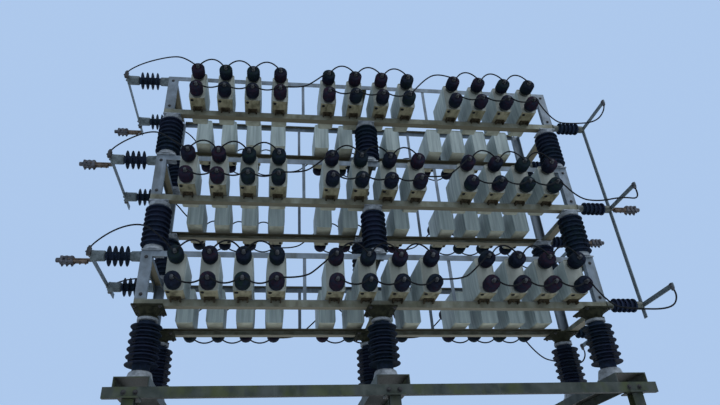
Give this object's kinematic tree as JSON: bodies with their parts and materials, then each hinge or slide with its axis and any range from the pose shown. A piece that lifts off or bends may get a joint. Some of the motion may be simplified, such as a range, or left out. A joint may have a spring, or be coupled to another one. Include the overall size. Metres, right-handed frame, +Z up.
{
  "type": "capacitor bank",
  "caption": "Outdoor capacitor bank: three racks of cans one above the other on post insulators and a steel stand, with jumper leads and end bus bars.",
  "frame": {"origin": "centre of the bounding box's base, on the ground", "axes": "+X along the bank towards the end with the slanting arms, -Y the front, +Z up"},
  "size_m": [5.261, 1.58, 5.8188],
  "materials": {
    "stand_steel": "weathered galvanised",
    "rack_steel": "weathered galvanised",
    "can_paint": "satin, weathered",
    "porcelain": "glossy",
    "bushing_porcelain": "glossy",
    "insulator_metal": "galvanised",
    "adapter_metal": "galvanised",
    "bus_aluminium": "dull",
    "lead_sheath": "matt",
    "arm_metal": "stained"
  },
  "bodies": {
    "root": {"adapters": "adapter_metal", "base_beams": "stand_steel", "base_insulator_fittings": "insulator_metal", "base_insulators": "porcelain", "bus_bars": "bus_aluminium", "bus_insulator_fittings": "insulator_metal", "bus_insulators": "porcelain", "cross_channels": "stand_steel", "front_columns": "stand_steel", "line_clamps": "arm_metal", "long_braces": "stand_steel", "lower_bushings": "bushing_porcelain", "lower_cans": "can_paint", "lower_cross_members": "rack_steel", "lower_leads": "lead_sheath", "lower_posts": "rack_steel", "lower_rails": "rack_steel", "lower_ties": "rack_steel", "middle_bushings": "bushing_porcelain", "middle_cans": "can_paint", "middle_cross_members": "rack_steel", "middle_insulator_fittings": "insulator_metal", "middle_insulators": "porcelain", "middle_leads": "lead_sheath", "middle_posts": "rack_steel", "middle_rails": "rack_steel", "middle_ties": "rack_steel", "neutral_arms": "arm_metal", "neutral_bars": "bus_aluminium", "neutral_insulator_fittings": "insulator_metal", "neutral_insulators": "porcelain", "rear_columns": "stand_steel", "side_braces": "stand_steel", "upper_bushings": "bushing_porcelain", "upper_cans": "can_paint", "upper_cross_members": "rack_steel", "upper_insulator_fittings": "insulator_metal", "upper_insulators": "porcelain", "upper_leads": "lead_sheath", "upper_posts": "rack_steel", "upper_rails": "rack_steel", "upper_ties": "rack_steel"}
  },
  "joints": []
}
